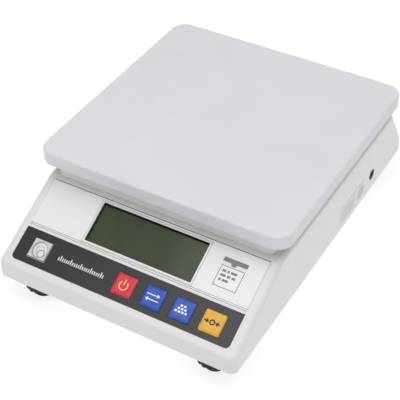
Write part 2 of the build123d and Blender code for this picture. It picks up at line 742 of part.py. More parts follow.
def weighing_pan():
    """Tray with a rounded skirt, and sockets below that drop over the bumpers."""
    bottom = TOTAL_HEIGHT - PAN_SKIRT
    tray = rounded_slab(PAN_HALF_WIDTH, PAN_HALF_DEPTH, PAN_CORNER, bottom, TOTAL_HEIGHT, PAN_Y)
    top = tray.faces().sort_by(Axis.Z)[-1]
    tray = fillet(top.edges(), PAN_EDGE)
    hollow = rounded_slab(
        PAN_HALF_WIDTH - PAN_THICKNESS,
        PAN_HALF_DEPTH - PAN_THICKNESS,
        PAN_CORNER - PAN_THICKNESS,
        bottom - 1,
        TOTAL_HEIGHT - PAN_THICKNESS,
        PAN_Y,
    )
    tray = tray - hollow
    underside = TOTAL_HEIGHT - PAN_THICKNESS
    for x, y in post_places():
        ring = rod(x, y, underside - SOCKET_DEPTH, underside, SOCKET_OUTER)
        tray = tray + ring - rod(x, y, underside - SOCKET_DEPTH - 1, underside, SOCKET_INNER)
    rib_reach = POST_REACH - RIB_END
    rib_z = (underside - RIB_DEPTH, underside)
    for reach in (-POST_REACH, POST_REACH):
        middle_y = PAN_Y + reach
        across = box_between((-rib_reach, rib_reach), (middle_y - RIB_HALF, middle_y + RIB_HALF), rib_z)
        along = box_between((reach - RIB_HALF, reach + RIB_HALF), (PAN_Y - rib_reach, PAN_Y + rib_reach), rib_z)
        tray = tray + across + along
    return tray


# ---------------------------------------------------------------- power and electronics
def main_board():
    """Main circuit board on its standoffs."""
    board = box_between(MAIN_BOARD_X, MAIN_BOARD_Y, (MAIN_BOARD_Z, MAIN_BOARD_Z + BOARD_THICKNESS))
    for x, y in board_standoffs():
        board = board - rod(x, y, MAIN_BOARD_Z - 1, MAIN_BOARD_Z + 3, 1.6)
    return board


def board_components():
    """Chips, capacitors, a crystal and connectors on the main board."""
    top = MAIN_BOARD_Z + BOARD_THICKNESS
    parts = []
    parts.append(box_between((34, 48), (8, 22), (top, top + 1.6)))
    parts.append(box_between((54, 62), (12, 22), (top, top + 1.8)))
    parts.append(box_between((34, 45), (26, 30), (top, top + 3.5)))
    parts.append(rod(66, 4, top, top + 11, 4.0))
    parts.append(rod(66, 16, top, top + 11, 4.0))
    parts.append(box_between((24, 30), (27, 37), (top, top + 5)))
    parts.append(box_between((46.5, 57.5), (-13, -8), (top, top + 5)))
    parts.append(box_between((59.5, 66.5), BOARD_PLUG_Y, (top, top + 5)))
    parts.append(box_between((50, 58), (39, 44), (top, top + 5)))
    return Compound(children=parts)


def board_screws():
    """Four screws that hold the main board."""
    screws = []
    top = MAIN_BOARD_Z + BOARD_THICKNESS
    for x, y in board_standoffs():
        head = rod(x, y, top, top + 1.5, 2.6)
        shank = rod(x, y, BASE_TOP + 0.5, top, BOARD_SCREW_RADIUS)
        screws.append(head + shank)
    return Compound(children=screws)


def buzzer():
    """Round sounder on the main board."""
    top = MAIN_BOARD_Z + BOARD_THICKNESS
    can = rod(64, 31, top, top + 8, 6.0)
    return can - rod(64, 31, top + 6.5, top + 9, 1.2)


def dc_jack():
    """Low-voltage inlet: a socket with a centre pin, fixed in the right wall."""
    face = wall_face_x(JACK_Z)
    block = box_between(
        (face - JACK_DEPTH, face - WALL - 0.5), (JACK_Y - 5, JACK_Y + 5), (JACK_Z - 5.5, JACK_Z + 5.5)
    )
    nose = Pos(face - 2.1, JACK_Y, JACK_Z) * Rot(0, 90, 0) * Cylinder(4.1, 3.4)
    bore = Pos(face - 4.5, JACK_Y, JACK_Z) * Rot(0, 90, 0) * Cylinder(JACK_BORE, 12)
    pin = Pos(face - 9.0, JACK_Y, JACK_Z) * Rot(0, 90, 0) * Cylinder(JACK_PIN, 5)
    return block + nose - bore + pin


def wall_face_x(z):
    """Outer face of the right wall at a height."""
    return HOUSING_HALF_WIDTH - (z - FOOT_HEIGHT) * tan(radians(HOUSING_DRAFT))


def battery_cells():
    """Four round cells side by side."""
    cells = []
    middle_z = FOOT_HEIGHT + DOOR_THICKNESS + CELL_AA_LIFT + CELL_AA_RADIUS
    for x in battery_cell_places():
        body = Pos(x, battery_middle_y(), middle_z) * Rot(90, 0, 0) * Cylinder(CELL_AA_RADIUS, CELL_AA_LENGTH)
        nub_y = battery_middle_y() - (CELL_AA_LENGTH + NUB_LENGTH) / 2
        nub = Pos(x, nub_y, middle_z) * Rot(90, 0, 0) * Cylinder(NUB_RADIUS, NUB_LENGTH)
        cells.append(body + nub)
    return Compound(children=cells)


def battery_cell_places():
    """X of each battery cell."""
    middle = (BAY_LEFT + BAY_RIGHT) / 2
    pitch = 2 * CELL_AA_RADIUS + CELL_AA_GAP
    return [middle + (i - 1.5) * pitch for i in range(4)]


def battery_middle_y():
    """Y of the middle of the cells, which sit nearer the front contacts."""
    return BAY_FRONT + BAY_WALL + CONTACT_ROOM + CELL_AA_LENGTH / 2


def battery_contacts():
    """Plates at the front of the bay and coil-shaped contacts at the back."""
    contacts = []
    middle_z = FOOT_HEIGHT + DOOR_THICKNESS + CELL_AA_LIFT + CELL_AA_RADIUS
    front = BAY_FRONT + BAY_WALL
    back = BAY_BACK - BAY_WALL
    cell_back = battery_middle_y() + CELL_AA_LENGTH / 2
    for x in battery_cell_places():
        across = (x - CONTACT_HALF, x + CONTACT_HALF)
        upright = (middle_z - CONTACT_HALF, middle_z + CONTACT_HALF)
        plate = box_between(across, (front, front + CONTACT_THICKNESS), upright)
        disc = box_between(across, (back - CONTACT_THICKNESS, back), upright)
        length = back - CONTACT_THICKNESS - cell_back
        coil = Pos(x, cell_back + length / 2, middle_z) * Rot(90, 0, 0) * Cone(4.0, 2.2, length)
        contacts.append(plate)
        contacts.append(disc + coil)
    return Compound(children=contacts)


def battery_door():
    """Flat cover under the battery bay, with finger grooves and a snap tongue."""
    gap = DOOR_GAP
    left = BAY_LEFT + BAY_WALL + gap
    right = BAY_RIGHT - BAY_WALL - gap
    front = BAY_FRONT + BAY_WALL + gap
    back = BAY_BACK - BAY_WALL - gap
    door = box_between((left, right), (front, back), (FOOT_HEIGHT, FOOT_HEIGHT + DOOR_THICKNESS))
    door = fillet(door.edges().filter_by(Axis.Z), 1.0)
    middle = (left + right) / 2
    across = (middle - 12, middle + 12)
    for i in range(5):
        y = front + 5 + 2.4 * i
        door = door - box_between(across, (y - 0.5, y + 0.5), (FOOT_HEIGHT - 1, FOOT_HEIGHT + 0.6))
    return door


# ---------------------------------------------------------------- cables inside
def load_cell_cable():
    """Screened lead from the load cell to the main board."""
    z = CELL_BOTTOM_Z + 12
    points = [(CELL_WIDTH / 2, 52, z), (19, 52, z), (27, 44, z), (27, 32, z), (27, 32, MAIN_BOARD_Z + 6.7)]
    return cable(points, 1.3, [5.0, 6.0, 3.0])


def battery_leads():
    """Pair of leads from the battery bay under the load cell to the main board."""
    z = BASE_TOP + 2.2
    y = BAY_FRONT - 3.5
    end_y = BOARD_PLUG_Y[0] - 0.1
    exit_z = z + 4.8
    plug_z = MAIN_BOARD_Z + 4.0
    points = [(-30, BAY_FRONT - 0.1, exit_z), (-30, y, exit_z), (-30, y, z), (0, y, z), (30, y, z + 0.4)]
    points += [(63, y, z), (63, y, plug_z), (63, end_y, plug_z)]
    return cable(points, 1.2, [1.6, 2.2, 60.0, 60.0, 3.0, 0.9])


def jack_leads():
    """Pair of leads from the inlet to the main board."""
    x = wall_face_x(JACK_Z) - JACK_DEPTH
    plug_z = MAIN_BOARD_Z + 4.0
    points = [(x, JACK_Y, JACK_Z), (x - 8, JACK_Y, JACK_Z)]
    points += [(57, 60, plug_z), (54, 50, plug_z), (54, 44.2, plug_z)]
    return cable(points, 1.2, [5.0, 9.0, 6.0])


def ribbon_cable():
    """Flat ribbon from the display board to the main board."""
    thickness = 0.8
    start = panel_place(52, 14, BOARD_TOP - BOARD_THICKNESS - thickness - 0.1).position
    points = [
        (start.Y, start.Z),
        (start.Y + 3, start.Z - 6),
        (-40, MAIN_BOARD_Z + 12),
        (-22, MAIN_BOARD_Z + 10),
        (-12, MAIN_BOARD_Z + 7.6),
        (-11.2, MAIN_BOARD_Z + 6.65),
    ]
    side = Plane(origin=(47, 0, 0), x_dir=(0, 1, 0), z_dir=(1, 0, 0))
    upper = [(y, z + thickness) for y, z in reversed(points)]
    outline = Polyline(*points, *upper, points[0])
    return extrude(side * make_face(outline), 10)


def rating_label():
    """Thin label on the right wall near its lower edge."""
    lean = Rot(0, -HOUSING_DRAFT, 0)
    middle_z = (LABEL_Z[0] + LABEL_Z[1]) / 2
    middle_y = (LABEL_Y[0] + LABEL_Y[1]) / 2
    sheet = Box(0.2, LABEL_Y[1] - LABEL_Y[0], LABEL_Z[1] - LABEL_Z[0])
    return Pos(wall_face_x(middle_z) + 0.115, middle_y, middle_z) * lean * sheet


# ---------------------------------------------------------------- feet
def foot_inserts():
    """Four hexagonal brass nuts in the foot bosses."""
    nuts = []
    for x, y in foot_places().values():
        nut = hexagon(x, y, BASE_TOP - NUT_DEPTH, BASE_TOP, NUT_ACROSS)
        nuts.append(nut - rod(x, y, FOOT_BOSS_BOTTOM, BASE_TOP + 1, STUD_RADIUS + RUNNING_CLEARANCE))
    return Compound(children=nuts)


def foot_stud(x, y):
    """Steel stud of one foot."""
    stud = rod(x, y, FOOT_PAD_TOP + STUD_SEAT, STUD_TOP, STUD_RADIUS)
    tip = stud.edges().group_by(Axis.Z)[-1]
    return chamfer(tip, 0.6)


def foot_wheel(x, y):
    """Notched thumbwheel moulded on the stud."""
    wheel = rod(x, y, FOOT_PAD_TOP + WHEEL_GAP, FOOT_WHEEL_TOP, FOOT_RADIUS)
    reach = FOOT_RADIUS + NOTCH_OUT
    for i in range(FOOT_NOTCHES):
        angle = radians(360 / FOOT_NOTCHES * (i + 0.5))
        notch = rod(x + reach * cos(angle), y + reach * sin(angle), 0, FOOT_WHEEL_TOP + 1, NOTCH_RADIUS)
        wheel = wheel - notch
    return wheel - rod(x, y, FOOT_PAD_TOP + STUD_SEAT, FOOT_WHEEL_TOP + 1, STUD_RADIUS)


def foot_pad(x, y):
    """Rubber pad that the thumbwheel turns on."""
    pad = Pos(x, y, FOOT_PAD_TOP / 2) * Cone(FOOT_PAD_RADIUS, FOOT_PAD_NECK, FOOT_PAD_TOP)
    lower = pad.edges().group_by(Axis.Z)[0]
    return fillet(lower, 0.8)


# ---------------------------------------------------------------- build
def main():
    """Write every node."""
    os.makedirs(OUT, exist_ok=True)
    shell = upper_housing()
    for boss in panel_bosses():
        shell = shell + boss
    nodes = {
        "upper_housing": shell,
        "base_plate": base_plate(),
        "base_screws": base_screws(),
        "display_sheet": display_sheet(),
        "key_sheet": key_sheet(),
        "display_gasket": display_gasket(),
        "display_window": display_window(),
        "lcd_glass": lcd_glass(),
        "lcd_connectors": lcd_connectors(),
        "display_board": display_board(),
        "display_board_screws": display_board_screws(),
        "key_switches": key_switches(),
        "level_body": level_body(),
        "level_vial": level_vial(),
        "level_clip": level_clip(),
        "load_cell": load_cell(),
        "strain_gauges": strain_gauges(),
        "load_cell_block": load_cell_block(),
        "load_cell_base_screws": load_cell_base_screws(),
        "support_frame": support_frame(),
        "frame_screws": frame_screws(),
        "pan_bumpers": pan_bumpers(),
        "overload_stops": overload_stops(),
        "weighing_pan": weighing_pan(),
        "main_board": main_board(),
        "board_components": board_components(),
        "board_screws": board_screws(),
        "buzzer": buzzer(),
        "dc_jack": dc_jack(),
        "battery_cells": battery_cells(),
        "battery_contacts": battery_contacts(),
        "battery_door": battery_door(),
        "load_cell_cable": load_cell_cable(),
        "battery_leads": battery_leads(),
        "jack_leads": jack_leads(),
        "ribbon_cable": ribbon_cable(),
        "rating_label": rating_label(),
        "foot_inserts": foot_inserts(),
    }
    for name, x in KEY_X.items():
        nodes[f"key_cap_{name}"] = key_cap(x)
        nodes[f"switch_plunger_{name}"] = switch_plunger(x)
    for corner, (x, y) in foot_places().items():
        nodes[f"foot_stud_{corner}"] = foot_stud(x, y)
        nodes[f"foot_wheel_{corner}"] = foot_wheel(x, y)
        nodes[f"foot_pad_{corner}"] = foot_pad(x, y)
    for name, shape in nodes.items():
        save(shape, name)


main()
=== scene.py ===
"""Desktop counting scale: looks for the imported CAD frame.

Metres, +Z up, +Y to the back, +X right.
"""

import math

import bmesh
import bpy
from mathutils import Matrix, Vector


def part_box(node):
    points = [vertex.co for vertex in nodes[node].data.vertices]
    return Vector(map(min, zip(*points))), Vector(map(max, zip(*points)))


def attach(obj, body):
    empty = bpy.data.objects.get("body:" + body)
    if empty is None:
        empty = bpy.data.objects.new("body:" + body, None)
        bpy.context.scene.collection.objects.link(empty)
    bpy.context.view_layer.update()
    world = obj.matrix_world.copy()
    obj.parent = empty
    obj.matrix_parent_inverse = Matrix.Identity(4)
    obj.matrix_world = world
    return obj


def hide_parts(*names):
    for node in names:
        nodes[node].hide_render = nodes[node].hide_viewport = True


MM = 0.001

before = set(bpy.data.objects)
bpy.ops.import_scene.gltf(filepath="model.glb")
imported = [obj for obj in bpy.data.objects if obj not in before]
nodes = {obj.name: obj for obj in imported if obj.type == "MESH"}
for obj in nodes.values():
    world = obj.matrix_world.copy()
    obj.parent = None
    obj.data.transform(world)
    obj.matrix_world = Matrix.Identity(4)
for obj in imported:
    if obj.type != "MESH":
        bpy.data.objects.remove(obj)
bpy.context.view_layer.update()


# ---------------------------------------------------------------- colours and node helpers
NOISE_LOW, NOISE_HIGH = 0.3, 0.7
COAT_ROUGHNESS = 0.15


def tone(red, green, blue):
    """An sRGB colour, 0 to 255, as linear RGBA."""
    linear = []
    for value in (red, green, blue):
        c = value / 255
        linear.append(c / 12.92 if c <= 0.04045 else ((c + 0.055) / 1.055) ** 2.4)
    return (*linear, 1.0)


class Build:
    """A node tree under construction."""

    def __init__(self, name):
        self.material = bpy.data.materials.new(name)
        self.material.use_nodes = True
        self.tree = self.material.node_tree
        self.tree.nodes.clear()
        self.out = self.node("ShaderNodeOutputMaterial")
        self.coords = self.node("ShaderNodeTexCoord").outputs["Object"]

    def node(self, kind, **settings):
        """A new node of this kind, with these settings."""
        made = self.tree.nodes.new(kind)
        for key, value in settings.items():
            setattr(made, key, value)
        return made

    def link(self, a, b):
        """Joins an output to an input."""
        self.tree.links.new(a, b)

    def put(self, socket, value):
        """Links a socket into this one, or gives it a plain value."""
        if isinstance(value, bpy.types.NodeSocket):
            self.link(value, socket)
        else:
            socket.default_value = value

    def stretched(self, scale):
        """The coordinates, scaled differently along each axis."""
        mapping = self.node("ShaderNodeMapping")
        self.link(self.coords, mapping.inputs["Vector"])
        mapping.inputs["Scale"].default_value = scale
        return mapping.outputs["Vector"]

    def noise(self, size, detail=3.0, rough=0.55, vector=None, distortion=0.0):
        """Noise whose features are about this size in metres."""
        made = self.node("ShaderNodeTexNoise")
        self.link(vector or self.coords, made.inputs["Vector"])
        made.inputs["Scale"].default_value = 1 / size
        made.inputs["Detail"].default_value = detail
        made.inputs["Roughness"].default_value = rough
        made.inputs["Distortion"].default_value = distortion
        return made.outputs["Fac"]

    def cells(self, size, feature="F1", vector=None):
        """Cell pattern of about this size in metres."""
        made = self.node("ShaderNodeTexVoronoi", feature=feature)
        self.link(vector or self.coords, made.inputs["Vector"])
        made.inputs["Scale"].default_value = 1 / size
        return made.outputs["Distance"]

    def ranged(self, value, low, high, to_low, to_high):
        """Maps a value from one range to another, eased at both ends."""
        made = self.node("ShaderNodeMapRange", interpolation_type="SMOOTHSTEP")
        self.put(made.inputs["Value"], value)
        made.inputs["From Min"].default_value = low
        made.inputs["From Max"].default_value = high
        made.inputs["To Min"].default_value = to_low
        made.inputs["To Max"].default_value = to_high
        return made.outputs["Result"]

    def spread(self, value, to_low, to_high):
        """Maps the middle of a noise, where most of its values lie, to a range."""
        return self.ranged(value, NOISE_LOW, NOISE_HIGH, to_low, to_high)

    def math(self, kind, a, b):
        """One arithmetic step on two values or sockets."""
        made = self.node("ShaderNodeMath", operation=kind)
        self.put(made.inputs[0], a)
        self.put(made.inputs[1], b)
        return made.outputs["Value"]

    def mixed(self, share, a, b):
        """Colour a where share is 0 and b where it is 1."""
        made = self.node("ShaderNodeMix", data_type="RGBA")
        self.put(made.inputs["Factor"], share)
        self.put(made.inputs[6], a)
        self.put(made.inputs[7], b)
        return made.outputs[2]

    def varied(self, value, a, b):
        """Colour from a to b over the middle of a noise."""
        return self.mixed(self.spread(value, 0, 1), a, b)

    def along(self, axis):
        """One coordinate of the point."""
        made = self.node("ShaderNodeSeparateXYZ")
        self.link(self.coords, made.inputs["Vector"])
        return made.outputs[axis]

    def bump(self, height, depth):
        """A normal raised by a height map, by up to this depth in metres."""
        made = self.node("ShaderNodeBump")
        made.inputs["Strength"].default_value = 1.0
        made.inputs["Distance"].default_value = depth
        self.put(made.inputs["Height"], height)
        return made.outputs["Normal"]

    def surface(self, color, roughness, normal=None, metallic=0.0, specular=0.5, coat=0.0):
        """A principled surface on the output."""
        shader = self.node("ShaderNodeBsdfPrincipled")
        self.put(shader.inputs["Base Color"], color)
        self.put(shader.inputs["Roughness"], roughness)
        shader.inputs["Metallic"].default_value = metallic
        shader.inputs["Specular IOR Level"].default_value = specular
        shader.inputs["Coat Weight"].default_value = coat
        shader.inputs["Coat Roughness"].default_value = COAT_ROUGHNESS
        if normal is not None:
            self.link(normal, shader.inputs["Normal"])
        self.link(shader.outputs["BSDF"], self.out.inputs["Surface"])
        return shader


def shade(color, factor):
    """The colour made darker or lighter."""
    return (*[min(1.0, c * factor) for c in color[:3]], 1.0)


def moulded(name, color, rough, grain, depth, blotch, swirl=0.05):
    """Moulded plastic: eroded grain, slow changes of shade and polish, faint handling marks."""
    m = Build(name)
    slow = m.noise(size=swirl, detail=4.0, rough=0.6, distortion=0.4)
    fine = m.noise(size=grain, detail=2.0, rough=0.6)
    rubbed = m.noise(size=0.012, detail=5.0, rough=0.7)
    base = m.varied(slow, shade(color, 1 - blotch), shade(color, 1 + blotch))
    polish = m.ranged(rubbed, 0.3, 0.75, rough - 0.05, rough + 0.05)
    gloss = m.math("ADD", polish, m.math("MULTIPLY", slow, 0.04))
    m.surface(base, gloss, m.bump(fine, depth=depth))
    return m.material


def printed(name, color):
    """Screen-printed ink: slightly uneven cover and a dry surface."""
    m = Build(name)
    cover = m.noise(size=0.0004, detail=3.0, rough=0.6)
    base = m.varied(cover, shade(color, 0.94), shade(color, 1.05))
    m.surface(base, roughness=0.5, normal=m.bump(cover, depth=0.000004))
    return m.material


def metal(name, color, rough, brushed, depth=0.00001, spots=0.1):
    """Metal with a drawn or turned grain and patches of duller plating."""
    m = Build(name)
    grain = m.stretched(brushed)
    lines = m.noise(size=0.0006, detail=4.0, rough=0.7, vector=grain)
    patches = m.noise(size=0.006, detail=4.0, rough=0.6)
    base = m.mixed(m.ranged(patches, 0.35, 0.7, 0, 1), color, shade(color, 1 - spots))
    worn = m.math("ADD", lines, patches)
    gloss = m.ranged(worn, 0.7, 1.3, rough - 0.08, rough + 0.1)
    m.surface(base, gloss, m.bump(lines, depth=depth), metallic=1.0)
    return m.material


def rubber(name, color, rough=0.8):
    """Moulded rubber with a powdery bloom."""
    m = Build(name)
    bloom = m.noise(size=0.004, detail=5.0, rough=0.65)
    grain = m.noise(size=0.0003, detail=2.0, rough=0.6)
    base = m.mixed(m.ranged(bloom, 0.4, 0.75, 0, 1), color, shade(color, 1.6))
    gloss = m.spread(bloom, rough - 0.08, rough + 0.06)
    m.surface(base, gloss, m.bump(grain, depth=0.00002), specular=0.3)
    return m.material


# ---------------------------------------------------------------- panel geometry
SLOPE = math.radians(27.17)
SHEET_SUNK = 0.3  # mm of the sheet below the panel's face
SHEET_FACE = 0.1  # mm of the sheet above it
KEYS = ("power", "mode", "pieces", "tare")
CORNERS = ("front_left", "front_right", "rear_left", "rear_right")
SHARP_ANGLE = math.radians(35)
FULL_TURN = 2 * math.pi

sheet_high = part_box("display_sheet")[1]
NORMAL = Vector((0, -math.sin(SLOPE), math.cos(SLOPE)))
DOWN = Vector((0, -math.cos(SLOPE), -math.sin(SLOPE)))
PANEL_TOP = Vector(
    (
        0,
        sheet_high.y - SHEET_SUNK * MM * math.sin(SLOPE),
        sheet_high.z - SHEET_FACE * MM * math.cos(SLOPE),
    )
)


def on_panel(x, s, n):
    """Millimetres across, down the slope and out of the face, as a point."""
    return PANEL_TOP + Vector((x * MM, 0, 0)) + DOWN * (s * MM) + NORMAL * (n * MM)


def panel_coords(node):
    """Middle of a node on the panel: x and s in millimetres."""
    low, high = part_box(node)
    middle = (low + high) / 2
    return middle.x / MM, (middle - PANEL_TOP).dot(DOWN) / MM


def make_object(name, mesh_builder, material, body="root", smooth=True):
    """A mesh object from a bmesh, riding on a body."""
    bmesh.ops.recalc_face_normals(mesh_builder, faces=mesh_builder.faces[:])
    mesh = bpy.data.meshes.new(name)
    mesh_builder.to_mesh(mesh)
    mesh_builder.free()
    mesh.materials.append(material)
    for polygon in mesh.polygons:
        polygon.use_smooth = smooth
    made = bpy.data.objects.new(name, mesh)
    bpy.context.scene.collection.objects.link(made)
    if smooth:
        mesh.set_sharp_from_angle(angle=SHARP_ANGLE)
    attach(made, body)
    return made


def add_prism(bm, outline, place, low, high):
    """A closed prism over an outline of (u, v) points, where place(u, v, n) is in space."""
    under = [bm.verts.new(place(u, v, low)) for u, v in outline]
    over = [bm.verts.new(place(u, v, high)) for u, v in outline]
    count = len(outline)
    bm.faces.new(over)
    bm.faces.new(list(reversed(under)))
    for i in range(count):
        j = (i + 1) % count
        bm.faces.new((under[i], under[j], over[j], over[i]))


def skin(bm, loops):
    """A closed skin over loops of as many points each, with a cap at both ends."""
    for a, b in zip(loops, loops[1:]):
        for i in range(len(a)):
            j = (i + 1) % len(a)
            bm.faces.new((a[i], a[j], b[j], b[i]))
    bm.faces.new(loops[-1])
    bm.faces.new(loops[0])


def add_ring(bm, centre, radii, place, low, high, steps=40, start=0.0, sweep=FULL_TURN):
    """A closed band between the outer and inner radius, over a full turn or part of one."""
    outer, inner = radii
    whole = sweep > FULL_TURN - 0.001
    count = steps if whole else steps + 1
    loops = []
    for radius, level in ((inner, low), (outer, low), (outer, high), (inner, high)):
        loop = []
        for i in range(count):
            a = start + sweep * i / steps
            u = centre[0] + radius * math.cos(a)
            v = centre[1] + radius * math.sin(a)
            loop.append(bm.verts.new(place(u, v, level)))
        loops.append(loop)
    last = count if whole else count - 1
    for k in range(4):
        a, b = loops[k], loops[(k + 1) % 4]
        for i in range(last):
            j = (i + 1) % count
            bm.faces.new((a[i], a[j], b[j], b[i]))
    if not whole:
        bm.faces.new([loop[0] for loop in loops])
        bm.faces.new([loop[-1] for loop in reversed(loops)])


STROKE_STEP = 1.2  # mm between the points of a stroke, so that it follows the dish of a key


def stroke(points, width):
    """Short quads of a line of this width through the points, with the corners filled."""
    quads = []
    for (u0, v0), (u1, v1) in zip(points, points[1:]):
        length = math.hypot(u1 - u0, v1 - v0)
        pieces = max(1, round(length / STROKE_STEP))
        ex, ey = (u1 - u0) / length, (v1 - v0) / length
        h = width / 2
        for i in range(pieces):
            a = -h if i == 0 else length * i / pieces
            b = length + h if i == pieces - 1 else length * (i + 1) / pieces
            quads.append(
                [
                    (u0 + ex * a - ey * h, v0 + ey * a + ex * h),
                    (u0 + ex * b - ey * h, v0 + ey * b + ex * h),
                    (u0 + ex * b + ey * h, v0 + ey * b - ex * h),
                    (u0 + ex * a + ey * h, v0 + ey * a - ex * h),
                ]
            )
    return quads


def bar(u0, v0, u1, v1):
    """An upright rectangle as an outline."""
    return [(u0, v0), (u1, v0), (u1, v1), (u0, v1)]


def frame_lines(u0, v0, u1, v1, width):
    """Four bars around a rectangle that meet without crossing."""
    return [
        bar(u0, v0, u1, v0 + width),
        bar(u0, v1 - width, u1, v1),
        bar(u0, v0 + width, u0 + width, v1 - width),
        bar(u1 - width, v0 + width, u1, v1 - width),
    ]


# ---------------------------------------------------------------- materials
WHITE = tone(232, 233, 232)

white_abs = moulded(
    "white_abs", WHITE, rough=0.36, grain=0.00028, depth=0.000006, blotch=0.012, swirl=0.09
)
base_abs = moulded(
    "base_abs", shade(WHITE, 0.97), rough=0.48, grain=0.0005, depth=0.00003, blotch=0.02
)
pan_abs = moulded(
    "pan_abs",
    tone(226, 227, 231),
    rough=0.5,
    grain=0.0004,
    depth=0.00001,
    blotch=0.018,
    swirl=0.045,
)
black_plastic = moulded(
    "black_plastic", tone(17, 17, 18), rough=0.58, grain=0.0004, depth=0.00002, blotch=0.1
)
jack_plastic = moulded(
    "jack_plastic", tone(96, 97, 99), rough=0.5, grain=0.0004, depth=0.00001, blotch=0.06
)
switch_plastic = moulded(
    "switch_plastic", tone(38, 38, 40), rough=0.45, grain=0.0003, depth=0.00001, blotch=0.08
)
silver_plastic = moulded(
    "silver_plastic", tone(212, 214, 214), rough=0.35, grain=0.0002, depth=0.000004, blotch=0.03
)
silicone = moulded(
    "white_silicone", tone(222, 222, 218), rough=0.6, grain=0.001, depth=0.00006, blotch=0.03
)
black_rubber = rubber("black_rubber", tone(24, 24, 25))
black_foam = rubber("black_foam", tone(10, 10, 10), rough=0.92)
cable_grey = rubber("cable_grey", tone(140, 142, 144), rough=0.55)
cable_black = rubber("cable_black", tone(26, 26, 27), rough=0.5)
zinc_steel = metal("zinc_steel", tone(196, 198, 200), rough=0.32, brushed=(1, 1, 6))
nickel_steel = metal("nickel_steel", tone(214, 212, 206), rough=0.22, brushed=(1, 5, 1))
black_steel = metal("black_steel", tone(58, 58, 60), rough=0.42, brushed=(1, 1, 5))
machined = metal(
    "machined_aluminium",
    tone(214, 216, 219),
    rough=0.3,
    brushed=(8, 0.6, 8),
    depth=0.000006,
    spots=0.05,
)
cast = metal(
    "cast_aluminium", tone(190, 192, 195), rough=0.55, brushed=(1, 1, 1), depth=0.00008, spots=0.08
)
brass = metal("brass_insert", tone(208, 176, 104), rough=0.28, brushed=(1, 1, 6))
ink_dark = printed("ink_dark", tone(70, 74, 77))
ink_grey = printed("ink_grey", tone(126, 131, 134))
ink_white = printed("ink_white", tone(238, 239, 240))
ink_cream = printed("ink_cream", tone(244, 196, 120))
ink_black = printed("ink_black", tone(48, 42, 30))


def film(name, color, rough, specular):
    """Printed polycarbonate film with a fine velvet grain."""
    m = Build(name)
    velvet = m.cells(size=0.00022)
    slow = m.noise(size=0.03, detail=4.0, rough=0.6)
    base = m.varied(slow, shade(color, 0.996), shade(color, 1.004))
    gloss = m.spread(slow, rough - 0.01, rough + 0.015)
    m.surface(base, gloss, m.bump(velvet, depth=0.0000015), specular=specular)
    return m.material


light_film = film("light_film", tone(240, 241, 240), rough=0.3, specular=0.75)
dark_film = film("dark_film", tone(18, 19, 20), rough=0.3, specular=0.64)


SIDE_FACING, TOP_FACING = 0.35, 0.93  # how far a bevel and a key's top face the panel's normal


def key_plastic(name, body, bevel_highlight):
    """Key cap plastic, with a painted highlight that makes the bevels and sides paler."""
    m = Build(name)
    facing = m.node("ShaderNodeVectorMath", operation="DOT_PRODUCT")
    geometry = m.node("ShaderNodeNewGeometry")
    m.link(geometry.outputs["Normal"], facing.inputs[0])
    facing.inputs[1].default_value = NORMAL
    slow = m.noise(size=0.004, detail=4.0, rough=0.6)
    base = m.varied(slow, shade(body, 0.95), shade(body, 1.06))
    # painted highlight: bevels and sides, which face away from the panel, take the paler colour
    bevel = m.ranged(facing.outputs["Value"], SIDE_FACING, TOP_FACING, 1, 0)
    base = m.mixed(bevel, base, bevel_highlight)
    gloss = m.spread(slow, 0.33, 0.42)
    fine = m.noise(size=0.0003, detail=2.0)
    m.surface(base, gloss, m.bump(fine, depth=0.000006), coat=0.15)
    return m.material


# each key: its body colour, then the paler painted highlight for its bevels and sides
key_looks = {
    "power": key_plastic("key_red", tone(214, 44, 66), tone(232, 96, 114)),
    "mode": key_plastic("key_blue_mode", tone(42, 80, 182), tone(84, 112, 208)),
    "pieces": key_plastic("key_blue_pieces", tone(46, 84, 184), tone(88, 116, 210)),
    "tare": key_plastic("key_yellow", tone(238, 178, 64), tone(250, 204, 104)),
}


def display_look():
    """Reflective display cell: a dark olive polariser with a fine grain."""
    m = Build("display_cell")
    sheen = m.noise(size=0.02, detail=3.0, rough=0.5)
    fine = m.noise(size=0.0003, detail=2.0, rough=0.6)
    base = m.varied(sheen, tone(66, 75, 52), tone(73, 82, 57))
    m.surface(base, m.spread(fine, 0.29, 0.36), m.bump(fine, depth=0.000002), specular=0.35)
    return m.material


WINDOW_IOR = 1.3  # below that of real plastic, which keeps the shine faint


def clear_look():
    """Clear window: light passes straight through and the surface shines a little."""
    m = Build("clear_window")
    clear = m.node("ShaderNodeBsdfTransparent")
    clear.inputs["Color"].default_value = (0.93, 0.95, 0.93, 1)
    shine = m.node("ShaderNodeBsdfGlossy")
    marks = m.noise(size=0.01, detail=4.0, rough=0.7)
    m.put(shine.inputs["Roughness"], m.spread(marks, 0.05, 0.13))
    fresnel = m.node("ShaderNodeFresnel")
    fresnel.inputs["IOR"].default_value = WINDOW_IOR
    both = m.node("ShaderNodeMixShader")
    m.link(fresnel.outputs["Fac"], both.inputs["Fac"])
    m.link(clear.outputs["BSDF"], both.inputs[1])
    m.link(shine.outputs["BSDF"], both.inputs[2])
    m.link(both.outputs["Shader"], m.out.inputs["Surface"])
    return m.material


def vial_look():
    """Level vial: pale clear moulding over a bright silvered floor."""
    m = Build("level_vial")
    slow = m.noise(size=0.004, detail=3.0, rough=0.5)
    base = m.varied(slow, tone(222, 225, 224), tone(234, 236, 235))
    m.surface(base, m.spread(slow, 0.1, 0.18), m.bump(slow, depth=0.00002), coat=0.5)
    return m.material


TRACE_EDGE = (0.02, 0.06)  # where the traces' pattern fades out
PAD_EDGE = (0.12, 0.16)  # the same for the pads


